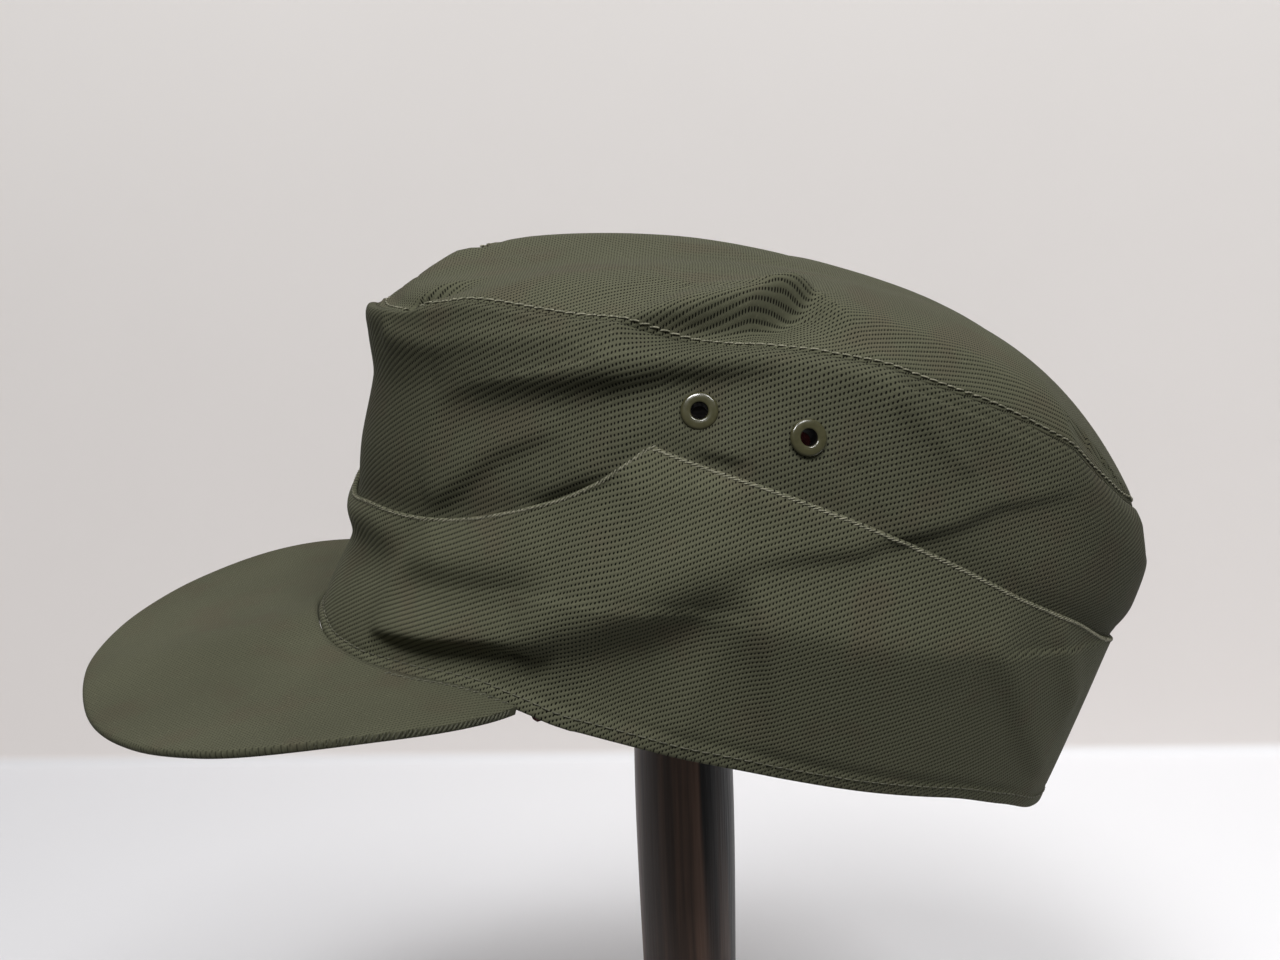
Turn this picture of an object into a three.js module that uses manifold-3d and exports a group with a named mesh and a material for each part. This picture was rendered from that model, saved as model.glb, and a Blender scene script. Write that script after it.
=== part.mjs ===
// A tropical field cap on a turned wooden stand, in millimetres with +Z up.
// The origin is the middle of the stand's foot on the floor. The cap's front points to -X, and its left
// side to -Y.
import * as THREE from "three";
import { mergeVertices } from "three/addons/utils/BufferGeometryUtils.js";
import Module from "manifold-3d";

const wasm = await Module();
wasm.setup();

// Driving sizes: how the cap sits, and how thick its cloth is
const OPENING_HEIGHT = 200;
const CAP_SETBACK = 3;
const CAP_PITCH = 18.3;
const CAP_ROLL = -1.2;
const CLOTH = 1.6;
const LINING = 1.0;
const GAP = 0.35;
const LINING_GAP = 0.6;
const BAND_GAP = 0.6;

// The wall in plan: its reach from the middle at rows that run from the hem (0) by the turn-up's edge (1)
// to the top seam (2)
const LEVELS = [
  { row: 0, front: 106, rear: 107, side: 72.5 },
  { row: 0.35, front: 105.5, rear: 108.5, side: 74.5 },
  { row: 0.7, front: 104.5, rear: 110, side: 75.5 },
  { row: 1, front: 104, rear: 111.5, side: 75 },
  { row: 1.3, front: 106.5, rear: 115, side: 71.5 },
  { row: 1.6, front: 106, rear: 116, side: 67 },
  { row: 1.85, front: 111.5, rear: 112.5, side: 63 },
  { row: 2, front: 113.5, rear: 107, side: 59.5 },
];

// Heights above the opening's plane, by the angle from the front (0) round either side to the rear (180)
const HEIGHTS = [
  { angle: 0, hem: -0.5, edge: 34.5, seam: 82 },
  { angle: 12, hem: -1.5, edge: 37.5, seam: 86 },
  { angle: 24, hem: 0, edge: 40.5, seam: 92.5 },
  { angle: 34, hem: 2.5, edge: 45, seam: 98 },
  { angle: 50, hem: 7, edge: 58.5, seam: 102 },
  { angle: 57, hem: 6.5, edge: 69, seam: 104.5 },
  { angle: 61.5, hem: 6, edge: 80.5, seam: 105.5 },
  { angle: 66, hem: 6.5, edge: 80.5, seam: 106.5 },
  { angle: 78, hem: 7, edge: 78, seam: 110.5 },
  { angle: 90, hem: 7.5, edge: 75.5, seam: 109.5 },
  { angle: 105, hem: 7, edge: 70, seam: 107 },
  { angle: 120, hem: 6.5, edge: 62.5, seam: 101 },
  { angle: 135, hem: 3, edge: 56, seam: 93 },
  { angle: 150, hem: -2, edge: 49, seam: 86 },
  { angle: 180, hem: -6, edge: 42.5, seam: 79.5 },
];

// The crown's middle, at row 3, and how roundly the top panel rises to it in each direction
const CROWN = { middle: 14, height: 121.5, frontPower: 2, sidePower: 3, rearPower: 2.7 };

// Folds run from one angle and row to another. A positive height is a ridge, and negative angles are
// the right side.
const MM_PER_DEGREE = 1.6;
const MM_PER_ROW = 48;
const FOLDS = [
  { name: "dent in the top panel", from: [57, 2.08], to: [73, 2.45], width: 8, height: -2.5 },
  { name: "sag under the top seam, front", from: [26, 1.55], to: [58, 1.58], width: 7, height: -3 },
  { name: "sag under the top seam, side", from: [58, 1.57], to: [80, 1.78], width: 6, height: -2.5 },
  { name: "roll at the front of the seam", from: [10, 1.87], to: [38, 1.86], width: 4, height: 1.2 },
  { name: "pull above the low edge", from: [29, 1.08], to: [43, 1.32], width: 5, height: -1.5 },
  { name: "pull by the point", from: [47, 1.1], to: [58, 1.2], width: 5, height: -1.2 },
  { name: "hollow over the peak", from: [0, 0.62], to: [24, 0.64], width: 8, height: -2 },
  { name: "crease over the peak", from: [19, 0.17], to: [59, 0.26], width: 5, height: -3 },
  { name: "crease up the side", from: [59, 0.26], to: [79, 0.6], width: 8, height: -3 },
  { name: "ridge over the crease", from: [57, 0.46], to: [75, 0.72], width: 6, height: 2.5 },
  { name: "soft spot", from: [35, 0.62], to: [47, 0.6], width: 6, height: -1.5 },
  { name: "line under the edge", from: [76, 0.76], to: [98, 0.95], width: 4, height: -1.2 },
  { name: "swell behind the crease", from: [84, 0.66], to: [112, 0.78], width: 7, height: 1.2 },
  { name: "hollow at the side", from: [88, 0.46], to: [104, 0.5], width: 9, height: -1.5 },
  { name: "upright ridge", from: [78, 0.12], to: [81, 0.5], width: 5, height: 1.5 },
  { name: "rear fold", from: [116, 0.8], to: [131, 0.12], width: 6, height: -1.8 },
  { name: "rear swell", from: [127, 0.78], to: [139, 0.16], width: 6, height: 1.2 },
  { name: "right sag under the seam", from: [-30, 1.55], to: [-74, 1.65], width: 8, height: -2.5 },
  { name: "right crease over the peak", from: [-22, 0.2], to: [-72, 0.4], width: 7, height: -2.5 },
  { name: "right hollow", from: [-82, 0.56], to: [-108, 0.5], width: 9, height: -1.5 },
  { name: "right rear fold", from: [-118, 0.78], to: [-132, 0.15], width: 7, height: -1.6 },
  { name: "right dent in the top panel", from: [-58, 2.12], to: [-80, 2.4], width: 9, height: -1.5 },
];

// The peak: half its angle at the hem, its reach, its slope at the middle, how much flatter its corners
// are, how far it fans out, and how square and how tapered its outline is
const PEAK = { corner: 55, reach: 63.5, slope: 29, flatter: 17, turn: 0.75, round: 3.3, taper: 0.55 };
const PEAK_THICKNESS = 2.4;
const PEAK_RIM = 0.3;
const PEAK_ROOT = { lift: 0.6, clear: 1 };

// The eyelets, two a side, by angle and row
const EYELETS = [
  { name: "front", angle: 69, row: 1.41 },
  { name: "rear", angle: 83, row: 1.42 },
];
const EYELET = { hole: 2, barrel: 2.9, flange: 4.5, proud: 0.9, depth: 1.7, seat: 0.45 };
const EYELET_SIDES = 16;

// The turned stand: each piece is a list of radius and height above the floor
const BASE_TOP = 19;
const POST_TOP = 275;
const HEAD_TOP = 316.5;
const HEAD_RADIUS = 50;
const HEAD_DOME = 90;

const OLIVE = { color: 0x57584a, roughness: 0.9, metalness: 0 };
const RED_CLOTH = { color: 0x5c201c, roughness: 0.85, metalness: 0 };
const PAINT = { color: 0x474632, roughness: 0.35, metalness: 0.3 };
const WOOD = { color: 0x34291f, roughness: 0.45, metalness: 0 };

// Points closer than this are one point
const MERGE = 1e-4;

const radians = THREE.MathUtils.degToRad;

// A smooth curve through the points of a table that never overshoots them. Flat ends suit a mirrored table.
function curveThrough(table, from, to, flatEnds) {
  const xs = table.map((entry) => entry[from]);
  const ys = table.map((entry) => entry[to]);
  const last = xs.length - 1;
  const slope = (k) => (ys[k + 1] - ys[k]) / (xs[k + 1] - xs[k]);
  const tangent = (k) => {
    if (k === 0) return flatEnds ? 0 : slope(0);
    if (k === last) return flatEnds ? 0 : slope(last - 1);
    const [before, after] = [slope(k - 1), slope(k)];
    return before * after <= 0 ? 0 : (2 * before * after) / (before + after);
  };
  return (x) => {
    let k = 0;
    while (k < last - 1 && x > xs[k + 1]) k += 1;
    const width = xs[k + 1] - xs[k];
    const u = (x - xs[k]) / width;
    const start = ys[k] * (1 + 2 * u) * (1 - u) ** 2 + width * tangent(k) * u * (1 - u) ** 2;
    return start + ys[k + 1] * (3 - 2 * u) * u * u + width * tangent(k + 1) * (u - 1) * u * u;
  };
}

const frontReach = curveThrough(LEVELS, "row", "front", false);
const rearReach = curveThrough(LEVELS, "row", "rear", false);
const sideReach = curveThrough(LEVELS, "row", "side", false);
const hemHeight = curveThrough(HEIGHTS, "angle", "hem", true);
const edgeHeight = curveThrough(HEIGHTS, "angle", "edge", true);
const seamHeight = curveThrough(HEIGHTS, "angle", "seam", true);

// The cap's outer surface without its folds. Rows 0 to 2 are the wall, and 2 to 3 the top panel.
function smoothSurface(angle, row) {
  const [c, s] = [Math.cos(radians(angle)), Math.sin(radians(angle))];
  const wallRow = Math.min(row, 2);
  const [front, rear] = [frontReach(wallRow), rearReach(wallRow)];
  const reach = (front + rear) / 2 + ((front - rear) / 2) * c;
  const turned = Math.abs(angle);
  const [hem, edge, seam] = [hemHeight(turned), edgeHeight(turned), seamHeight(turned)];
  const z = row < 1 ? hem + (edge - hem) * row : edge + (seam - edge) * (wallRow - 1);
  const point = new THREE.Vector3(-reach * c, -sideReach(wallRow) * s, z);
  if (row <= 2) return point;
  const inward = row - 2;
  const ahead = Math.max(c, 0) ** 2;
  const behind = Math.max(-c, 0) ** 2;
  const { frontPower, sidePower, rearPower } = CROWN;
  const power = sidePower + (frontPower - sidePower) * ahead + (rearPower - sidePower) * behind;
  point.x += (CROWN.middle - point.x) * inward;
  point.y *= 1 - inward;
  point.z += (CROWN.height - point.z) * (1 - (1 - inward) ** power);
  return point;
}

function facing(angle, row, rowStep) {
  const angleStep = 0.5;
  const along = smoothSurface(angle + angleStep, row).sub(smoothSurface(angle - angleStep, row));
  const up = smoothSurface(angle, row + rowStep).sub(smoothSurface(angle, row));
  return along.cross(up).multiplyScalar(Math.sign(rowStep)).normalize();
}

// The way out of the cloth at a place. At the top seam it halves the corner, and mitre makes up the
// thickness there.
function outward(angle, row) {
  const rowStep = 0.01;
  if (row > 2.99) return { normal: new THREE.Vector3(0, 0, 1), mitre: 1 };
  const below = facing(angle, row, row > 0.5 ? -rowStep : rowStep);
  if (Math.abs(row - 2) > rowStep) return { normal: below, mitre: 1 };
  const normal = below.clone().add(facing(angle, row, rowStep)).normalize();
  return { normal, mitre: 1 / normal.dot(below) };
}

function foldHeight(angle, row) {
  let height = 0;
  for (const fold of FOLDS) {
    const start = new THREE.Vector2(fold.from[0] * MM_PER_DEGREE, fold.from[1] * MM_PER_ROW);
    const along = new THREE.Vector2(fold.to[0] * MM_PER_DEGREE, fold.to[1] * MM_PER_ROW);
    along.sub(start);
    const here = new THREE.Vector2(angle * MM_PER_DEGREE, row * MM_PER_ROW).sub(start);
    const share = THREE.MathUtils.clamp(here.dot(along) / along.lengthSq(), 0, 1);
    const away = here.addScaledVector(along, -share).length();
    height += fold.height * Math.exp(-((away / fold.width) ** 2));
  }
  return height * Math.min(1, (3 - row) / 0.3);
}

// A point of one layer of the cap, at its depth under the outer surface, with the folds
function layerPoint(angle, row, depth) {
  const { normal, mitre } = outward(angle, row);
  return smoothSurface(angle, row).addScaledVector(normal, foldHeight(angle, row) - depth * mitre);
}

// A closed body between two grids of points, whose first index runs round and whose second runs up
function shell(outer, inner, closesRound) {
  const positions = [];
  const triangle = (a, b, c) => {
    if (a.distanceTo(b) < MERGE || b.distanceTo(c) < MERGE || c.distanceTo(a) < MERGE) return;
    positions.push(...a.toArray(), ...b.toArray(), ...c.toArray());
  };
  const quad = (a, b, c, d) => {
    triangle(a, b, c);
    triangle(a, c, d);
  };
  const columns = outer.length;
  const top = outer[0].length - 1;
  const spans = closesRound ? columns : columns - 1;
  for (let i = 0; i < spans; i += 1) {
    const next = (i + 1) % columns;
    for (let j = 0; j < top; j += 1) {
      quad(outer[i][j], outer[next][j], outer[next][j + 1], outer[i][j + 1]);
      quad(inner[i][j], inner[i][j + 1], inner[next][j + 1], inner[next][j]);
    }
    quad(inner[i][0], inner[next][0], outer[next][0], outer[i][0]);
    quad(outer[i][top], outer[next][top], inner[next][top], inner[i][top]);
  }
  if (!closesRound) {
    for (let j = 0; j < top; j += 1) {
      quad(inner[0][j], outer[0][j], outer[0][j + 1], inner[0][j + 1]);
      quad(outer[spans][j], inner[spans][j], inner[spans][j + 1], outer[spans][j + 1]);
    }
  }
  return closedGeometry(positions);
}

// Merges the corners of a list of triangles, drops those left without an area and turns the body's
// faces outward
function closedGeometry(positions) {
  const loose = new THREE.BufferGeometry();
  loose.setAttribute("position", new THREE.Float32BufferAttribute(positions, 3));
  const geometry = mergeVertices(loose, MERGE);
  const corners = Array.from(geometry.index.array);
  const kept = [];
  for (let k = 0; k < corners.length; k += 3) {
    const [a, b, c] = corners.slice(k, k + 3);
    if (a !== b && b !== c && c !== a) kept.push(a, b, c);
  }
  const at = (k) => new THREE.Vector3().fromBufferAttribute(geometry.attributes.position, k);
  let volume = 0;
  for (let k = 0; k < kept.length; k += 3) {
    volume += at(kept[k]).dot(at(kept[k + 1]).cross(at(kept[k + 2])));
  }
  if (volume < 0) kept.reverse();
  geometry.setIndex(kept);
  return geometry;
}

function solidOf(geometry) {
  const bare = geometry.clone();
  bare.deleteAttribute("normal");
  bare.deleteAttribute("uv");
  const merged = mergeVertices(bare, MERGE);
  const vertProperties = Float32Array.from(merged.attributes.position.array);
  const triVerts = Uint32Array.from(merged.index.array);
  return new wasm.Manifold(new wasm.Mesh({ numProp: 3, vertProperties, triVerts }));
}

function cutFrom(geometry, tools) {
  let solid = solidOf(geometry);
  for (const tool of tools) solid = solid.subtract(solidOf(tool));
  const { vertProperties, triVerts } = solid.getMesh();
  const result = new THREE.BufferGeometry();
  result.setAttribute("position", new THREE.Float32BufferAttribute(vertProperties, 3));
  result.setIndex(Array.from(triVerts));
  return result;
}

function named(name, geometry, look) {
  geometry.computeVertexNormals();
  const mesh = new THREE.Mesh(geometry, new THREE.MeshStandardMaterial(look));
  mesh.name = name;
  return mesh;
}

// Stations round the cap, every 5 degrees, with one on each point of the turn-up's edge
const STATION = 5;
const POINT_ANGLE = 61.5;
const stations = Array.from({ length: 360 / STATION }, (_, i) => {
  const angle = i * STATION - 180;
  return Math.abs(angle) === 60 ? Math.sign(angle) * POINT_ANGLE : angle;
});

// One layer all round the cap, between two depths that may change with the row
function layer(rows, outerDepth, innerDepth) {
  const grid = (depth) => stations.map((angle) => rows.map((row) => layerPoint(angle, row, depth(row))));
  return [grid(outerDepth), grid(innerDepth)];
}

// How deep the side panel's face lies: behind the turn-up band, and out at the surface above it
const TUCK_END = 1.3;
function panelDepth(row) {
  const behind = CLOTH + BAND_GAP;
  return behind * THREE.MathUtils.clamp((TUCK_END - row) / (TUCK_END - PANEL_ROWS[3]), 0, 1);
}

const BAND_ROWS = [0, 0.35, 0.7, 1];
const PANEL_ROWS = [0.04, 0.35, 0.7, 1.03, TUCK_END, 1.6, 1.85, 2];
const CROWN_ROWS = [2, 2.15, 2.35, 2.6, 3];
const LINING_ROWS = [...PANEL_ROWS, ...CROWN_ROWS.slice(1)];

function turnUpBand() {
  const [outer, inner] = layer(BAND_ROWS, () => 0, () => CLOTH);
  return named("turn_up_band", shell(outer, inner, true), OLIVE);
}

function eyeletFrame(eyelet, side) {
  const angle = eyelet.angle * side;
  const { normal } = outward(angle, eyelet.row);
  const centre = layerPoint(angle, eyelet.row, 0);
  const turn = new THREE.Quaternion().setFromUnitVectors(new THREE.Vector3(0, 1, 0), normal);
  return { centre, normal, turn };
}

function sidePanel() {
  const [outer, inner] = layer(PANEL_ROWS, panelDepth, (row) => panelDepth(row) + CLOTH);
  const top = PANEL_ROWS.length - 1;
  for (const grid of [outer, inner]) for (const column of grid) column[top].z -= GAP;
  const holes = [];
  for (const side of [1, -1]) {
    for (const eyelet of EYELETS) {
      const { centre, turn } = eyeletFrame(eyelet, side);
      const radius = EYELET.barrel + GAP;
      const hole = new THREE.CylinderGeometry(radius, radius, 5 * CLOTH, EYELET_SIDES);
      hole.applyQuaternion(turn);
      hole.translate(centre.x, centre.y, centre.z);
      holes.push(hole);
    }
  }
  return named("side_panel", cutFrom(shell(outer, inner, true), holes), OLIVE);
}

function crownTop() {
  const [outer, inner] = layer(CROWN_ROWS, () => 0, () => CLOTH);
  return named("crown_top", shell(outer, inner, true), OLIVE);
}

function lining() {
  const depth = (row) => panelDepth(row) + CLOTH + LINING_GAP;
  const [outer, inner] = layer(LINING_ROWS, depth, (row) => depth(row) + LINING);
  return named("lining", shell(outer, inner, true), RED_CLOTH);
}

// The peak's top face: share runs from corner to corner (-1 to 1), out from the seam (0) to the rim (1)
function peakFace(share, out) {
  const angle = share * PEAK.corner;
  const heading = radians(PEAK.turn * angle);
  const drop = radians(PEAK.slope - PEAK.flatter * share * share);
  const reach = PEAK.reach * Math.max(1 - Math.abs(share) ** PEAK.round, 0) ** PEAK.taper;
  const root = layerPoint(angle, 0, 0);
  const away = new THREE.Vector3(-Math.cos(heading), -Math.sin(heading), 0);
  root.addScaledVector(away, PEAK_ROOT.clear);
  root.z += PEAK_ROOT.lift;
  const direction = away.multiplyScalar(Math.cos(drop));
  direction.z = -Math.sin(drop);
  return root.addScaledVector(direction, reach * out);
}

function peakNormal(share, out) {
  const inside = THREE.MathUtils.clamp(share, -0.98, 0.98);
  const step = 0.01;
  const across = peakFace(inside + step, out).sub(peakFace(inside - step, out));
  const outWay = peakFace(inside, out + step).sub(peakFace(inside, out - step));
  return outWay.cross(across).normalize();
}

function peak() {
  const outs = [0, 0.35, 0.7, 0.93, 1];
  const spans = 28;
  const shares = Array.from({ length: spans + 1 }, (_, i) => Math.sin((Math.PI * (i / spans - 0.5))));
  const rim = (out) => (out > 0.95 ? PEAK_RIM : 0);
  const face = (depth) => shares.map((share) => outs.map((out) => {
    const at = Math.abs(share) > 0.999 ? 0 : out;
    const slip = depth === 0 ? rim(at) : -depth - rim(at);
    return peakFace(share, at).addScaledVector(peakNormal(share, at), slip);
  }));
  return named("peak", shell(face(0), face(PEAK_THICKNESS), false), OLIVE);
}

function eyeletMesh(name, eyelet, side) {
  const { centre, normal, turn } = eyeletFrame(eyelet, side);
  const lip = EYELET.proud * 0.55;
  const profile = [
    [EYELET.hole, -EYELET.depth],
    [EYELET.barrel, -EYELET.depth],
    [EYELET.barrel, 0],
    [EYELET.flange, 0],
    [EYELET.flange, lip],
    [EYELET.flange - 0.7, EYELET.proud],
    [EYELET.hole + 0.6, EYELET.proud],
    [EYELET.hole, lip],
    [EYELET.hole, -EYELET.depth],
  ];
  const ring = new THREE.LatheGeometry(profile.map(([r, h]) => new THREE.Vector2(r, h)), EYELET_SIDES);
  const mesh = named(name, ring, PAINT);
  mesh.position.copy(centre).addScaledVector(normal, EYELET.seat);
  mesh.quaternion.copy(turn);
  return mesh;
}

// A piece turned on the lathe: its outline runs from the axis at the bottom to the axis at the top
function turned(name, outline, segments) {
  const body = new THREE.LatheGeometry(outline.map(([r, z]) => new THREE.Vector2(r, z)), segments);
  body.rotateX(Math.PI / 2);
  return named(name, body, WOOD);
}

function standBase() {
  const edge = [[76, 0], [78, 2], [78, 6], [74, 10], [60, 13], [36, 15]];
  return turned("stand_base", [[0, 0], ...edge, [22, BASE_TOP], [0, BASE_TOP]], 48);
}

function standPost() {
  const foot = BASE_TOP + GAP;
  const shaft = [[18, 24], [12.5, 29], [12, 60], [13.6, 114], [14.1, 160], [13.5, 200], [12, POST_TOP]];
  return turned("stand_post", [[0, foot], [18, foot], ...shaft, [0, POST_TOP]], 24);
}

// The stand's head: a round-topped button that the crown rests on
function standHead() {
  const steps = 7;
  const dome = Array.from({ length: steps + 1 }, (_, i) => {
    const r = HEAD_RADIUS * (1 - i / steps);
    return [r, HEAD_TOP - HEAD_DOME + Math.sqrt(HEAD_DOME ** 2 - r ** 2)];
  });
  const shoulder = dome[0][1];
  const seat = POST_TOP + GAP;
  const edge = [[HEAD_RADIUS - 4, shoulder - 9], [HEAD_RADIUS, shoulder - 4]];
  return turned("stand_head", [[0, seat], [20, seat], ...edge, ...dome], 32);
}

const cap = new THREE.Group();
cap.rotation.set(radians(CAP_ROLL), radians(CAP_PITCH), 0, "YXZ");
cap.position.set(CAP_SETBACK, 0, OPENING_HEIGHT);
cap.add(crownTop(), sidePanel(), turnUpBand(), lining(), peak());
for (const [sideName, side] of [["left", 1], ["right", -1]]) {
  for (const eyelet of EYELETS) cap.add(eyeletMesh(`eyelet_${sideName}_${eyelet.name}`, eyelet, side));
}

const stand = new THREE.Group();
stand.add(standBase(), standPost(), standHead());

const object = new THREE.Group();
object.add(stand, cap);

export default object;
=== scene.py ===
import math
from collections import namedtuple

import bmesh
import bpy
import numpy as np
from mathutils import Matrix, Vector


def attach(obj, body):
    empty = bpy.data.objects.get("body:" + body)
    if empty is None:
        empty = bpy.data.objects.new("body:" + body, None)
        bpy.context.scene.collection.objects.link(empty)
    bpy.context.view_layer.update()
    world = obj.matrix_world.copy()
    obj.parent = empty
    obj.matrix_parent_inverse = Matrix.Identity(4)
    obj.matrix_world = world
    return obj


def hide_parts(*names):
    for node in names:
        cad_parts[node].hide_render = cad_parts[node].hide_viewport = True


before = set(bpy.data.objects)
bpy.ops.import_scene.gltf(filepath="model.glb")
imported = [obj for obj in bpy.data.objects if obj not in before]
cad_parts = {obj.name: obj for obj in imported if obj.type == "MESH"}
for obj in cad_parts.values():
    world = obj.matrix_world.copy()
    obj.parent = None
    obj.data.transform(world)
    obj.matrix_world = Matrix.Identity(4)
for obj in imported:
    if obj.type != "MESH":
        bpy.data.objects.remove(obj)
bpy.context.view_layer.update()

# Camera
# It looks at the cap's left side, from a little in front of it and above it.
EYE = Vector((-0.0989, -0.5115, 0.442))
HEADING = math.radians(9.91)
DOWN_TILT = math.radians(19.11)
ROLL = math.radians(-2.12)
LENS = 57.26

turn = Matrix.Rotation(-HEADING, 4, "Z") @ Matrix.Rotation(math.pi / 2 - DOWN_TILT, 4, "X")
camera = bpy.data.objects.new("camera", bpy.data.cameras.new("camera"))
camera.data.lens = LENS
camera.data.sensor_width = 36
camera.matrix_world = Matrix.Translation(EYE) @ turn @ Matrix.Rotation(ROLL, 4, "Z")
bpy.context.scene.collection.objects.link(camera)
bpy.context.scene.camera = camera


# Studio
# A pale floor runs up into a pale wall behind the stand, with a tight bend where they meet.
# Two softboxes stand above the camera to its left and right, and a wide one hangs over the cap.
class Wire:
    """A node's output that can stand in a sum. Each operation adds its Math node."""

    def __init__(self, socket):
        self.socket = socket

    def math(self, operation, *values):
        tree = self.socket.id_data
        node = tree.nodes.new("ShaderNodeMath")
        node.operation = operation
        for slot, value in zip(node.inputs, values):
            if isinstance(value, Wire):
                tree.links.new(value.socket, slot)
            else:
                slot.default_value = value
        return Wire(node.outputs[0])

    def __add__(self, other):
        return self.math("ADD", self, other)

    def __sub__(self, other):
        return self.math("SUBTRACT", self, other)

    def __rsub__(self, other):
        return self.math("SUBTRACT", other, self)

    def __mul__(self, other):
        return self.math("MULTIPLY", self, other)

    def wave(self):
        """A smooth wave from 0 to 1 and back for each whole step of the value."""
        return 0.5 - 0.5 * self.math("COSINE", self * (2 * math.pi))

    __radd__ = __add__
    __rmul__ = __mul__


class NodeWork:
    """Adds nodes to a tree, with their settings first and then their sockets' values and links."""

    def __init__(self, tree):
        self.tree = tree

    def node(self, kind, settings, sockets, output=0):
        node = self.tree.nodes.new(kind)
        for setting, value in settings.items():
            setattr(node, setting, value)
        for name, value in sockets.items():
            slot = next(s for s in node.inputs if s.enabled and name in (s.name, s.identifier))
            if isinstance(value, Wire):
                self.tree.links.new(value.socket, slot)
            else:
                slot.default_value = value
        shown = [s for s in node.outputs if s.enabled]
        return Wire(shown[output] if isinstance(output, int) else node.outputs[output])


class Finish(NodeWork):
    """A material in the making, with numbers for its shader's plain sockets."""

    def __init__(self, name, plain):
        self.material = bpy.data.materials.new(name)
        self.material.use_nodes = True
        super().__init__(self.material.node_tree)
        self.shader = self.tree.nodes["Principled BSDF"]
        for socket, value in plain.items():
            self.shader.inputs[socket].default_value = value

    def noise(self, vector, scale, detail=2):
        sockets = {"Vector": vector, "Scale": scale, "Detail": detail}
        return self.node("ShaderNodeTexNoise", {}, sockets, "Fac")

    def stretched(self, vector, factors):
        return self.node("ShaderNodeMapping", {}, {"Vector": vector, "Scale": factors})

    def between(self, value, low, high):
        """0 below low and 1 above high, with a smooth step between them."""
        settings = {"interpolation_type": "SMOOTHSTEP"}
        return self.node("ShaderNodeMapRange", settings, {"Value": value, "From Min": low, "From Max": high})

    def mix(self, share, first, second, blend="MIX"):
        settings = {"data_type": "RGBA", "blend_type": blend}
        colours = [c if isinstance(c, Wire) else (*c, 1) for c in (first, second)]
        return self.node("ShaderNodeMix", settings, {"Factor": share, "A": colours[0], "B": colours[1]})

    def shade(self, colour, brightness):
        """The colour times a brightness that changes over the surface."""
        grey = self.node("ShaderNodeCombineXYZ", {}, {"X": brightness, "Y": brightness, "Z": brightness})
        return self.mix(1.0, colour, grey, "MULTIPLY")

    def feed(self, socket, wire):
        self.tree.links.new(wire.socket, self.shader.inputs[socket])

    def bump(self, height, depth):
        sockets = {"Height": height, "Distance": depth, "Strength": 1.0}
        self.feed("Normal", self.node("ShaderNodeBump", {}, sockets))


def new_object(name, mesh):
    piece = bpy.data.objects.new(name, mesh)
    bpy.context.scene.collection.objects.link(piece)
    return piece


WALL_DISTANCE = 0.35
WALL_TURN = math.radians(3.3)
WALL_HEIGHT = 1.6
BEND = 0.006
STUDIO_WIDTH = 1.2
FLOOR_DEPTH = 0.5
bend_arc = [(BEND * math.sin(a), BEND * (1 - math.cos(a))) for a in np.linspace(0, math.pi / 2, 7)]
profile = [(-FLOOR_DEPTH, 0.0), *bend_arc, (BEND, WALL_HEIGHT)]
across = Matrix.Rotation(-HEADING - WALL_TURN, 3, "Z")
wall_foot = Matrix.Rotation(-HEADING, 3, "Z") @ Vector((0, WALL_DISTANCE, 0))
corners = []
for side in (-1, 1):
    for run, rise in profile:
        corners.append(wall_foot + across @ Vector((side * STUDIO_WIDTH / 2, run - BEND, rise)))
steps = len(profile)
studio_mesh = bpy.data.meshes.new("studio_sheet")
strips = [(k, k + steps, k + steps + 1, k + 1) for k in range(steps - 1)]
studio_mesh.from_pydata(corners, [], strips)
studio_mesh.shade_smooth()
studio = new_object("studio_sheet", studio_mesh)
paper = Finish("pale studio paper", {"Roughness": 0.9, "Specular IOR Level": 0.1})
place = paper.node("ShaderNodeTexCoord", {}, {}, "Object")
blotches = paper.noise(place, 7.0, 3)
height = paper.node("ShaderNodeSeparateXYZ", {}, {"Vector": place}, "Z")
# The wall is painted darker towards its foot: painted shade, mixed with random blotches in its tone
shade_and_blotches = 0.75 * paper.between(height, 0.0, 0.6) + 0.25 * blotches
wall_painted_shade = paper.mix(shade_and_blotches, (0.75, 0.71, 0.69), (0.90, 0.87, 0.85))
# The floor is painted lighter towards the right: painted light that evens out the shade falling there
sideways = paper.node("ShaderNodeSeparateXYZ", {}, {"Vector": place}, "X")
floor_painted_light = paper.mix(paper.between(sideways, -0.3, 0.3), (0.68, 0.68, 0.70), (0.86, 0.86, 0.88))
paper.feed("Base Color", paper.mix(paper.between(height, 0.001, 0.006), floor_painted_light, wall_painted_shade))
# Seen from behind, the sheet is clear, so that it never hides the cap
behind = paper.node("ShaderNodeNewGeometry", {}, {}, "Backfacing")
clear = paper.node("ShaderNodeBsdfTransparent", {}, {})
one_sided = {"Fac": behind, "Shader": Wire(paper.shader.outputs["BSDF"]), "Shader_001": clear}
shown = paper.node("ShaderNodeMixShader", {}, one_sided)
paper.tree.links.new(shown.socket, paper.tree.nodes["Material Output"].inputs["Surface"])
studio.data.materials.append(paper.material)

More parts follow.
